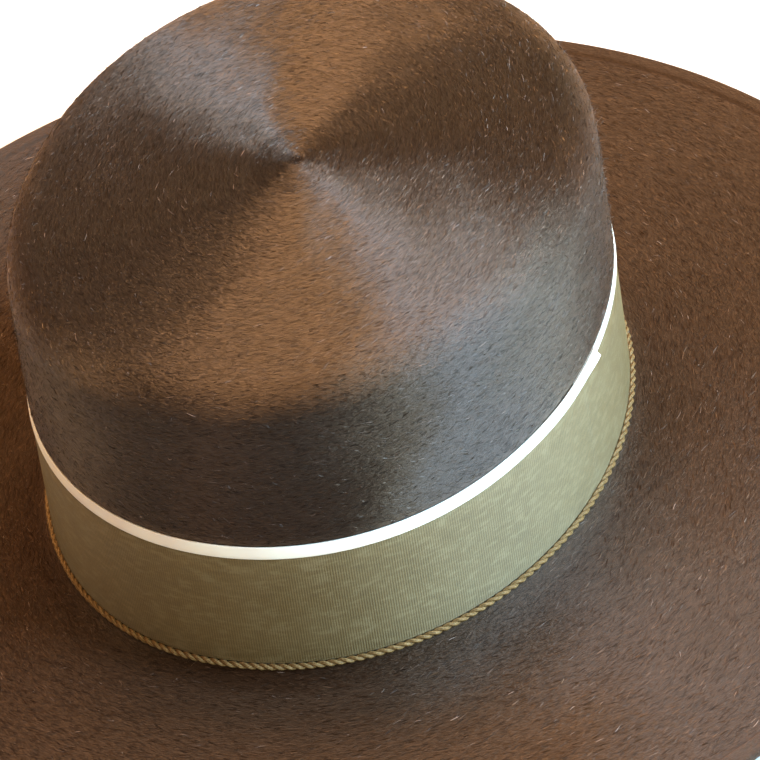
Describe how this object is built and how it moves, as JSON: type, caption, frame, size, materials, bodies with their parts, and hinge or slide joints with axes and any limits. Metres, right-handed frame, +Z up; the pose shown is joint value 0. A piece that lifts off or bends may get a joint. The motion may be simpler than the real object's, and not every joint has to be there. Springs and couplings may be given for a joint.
{
  "type": "wide-brim hat",
  "caption": "Wide-brim fur felt hat with a tall flat-topped oval crown, a ribbed ribbon, a satin piping and a twisted cord at the crown's foot.",
  "frame": {"origin": "centre of the head opening in the plane of the brim's underside, on which the hat rests", "axes": "+X across the head towards the ribbon's join, +Y along the head, +Z up towards the crown's tip"},
  "size_m": [0.374, 0.3904, 0.1088],
  "materials": {
    "felt": "long-nap fur felt, dark chocolate brown, nap brushed in circles round the tip",
    "ribbon": "fine upright ribs, olive, matt with a faint sheen",
    "piping": "smooth satin, cream",
    "cord": "twisted yarn, olive gold"
  },
  "bodies": {
    "root": {"felt_body": "felt", "ribbon_band": "ribbon", "cream_piping": "piping", "twisted_cord": "cord"}
  },
  "joints": []
}
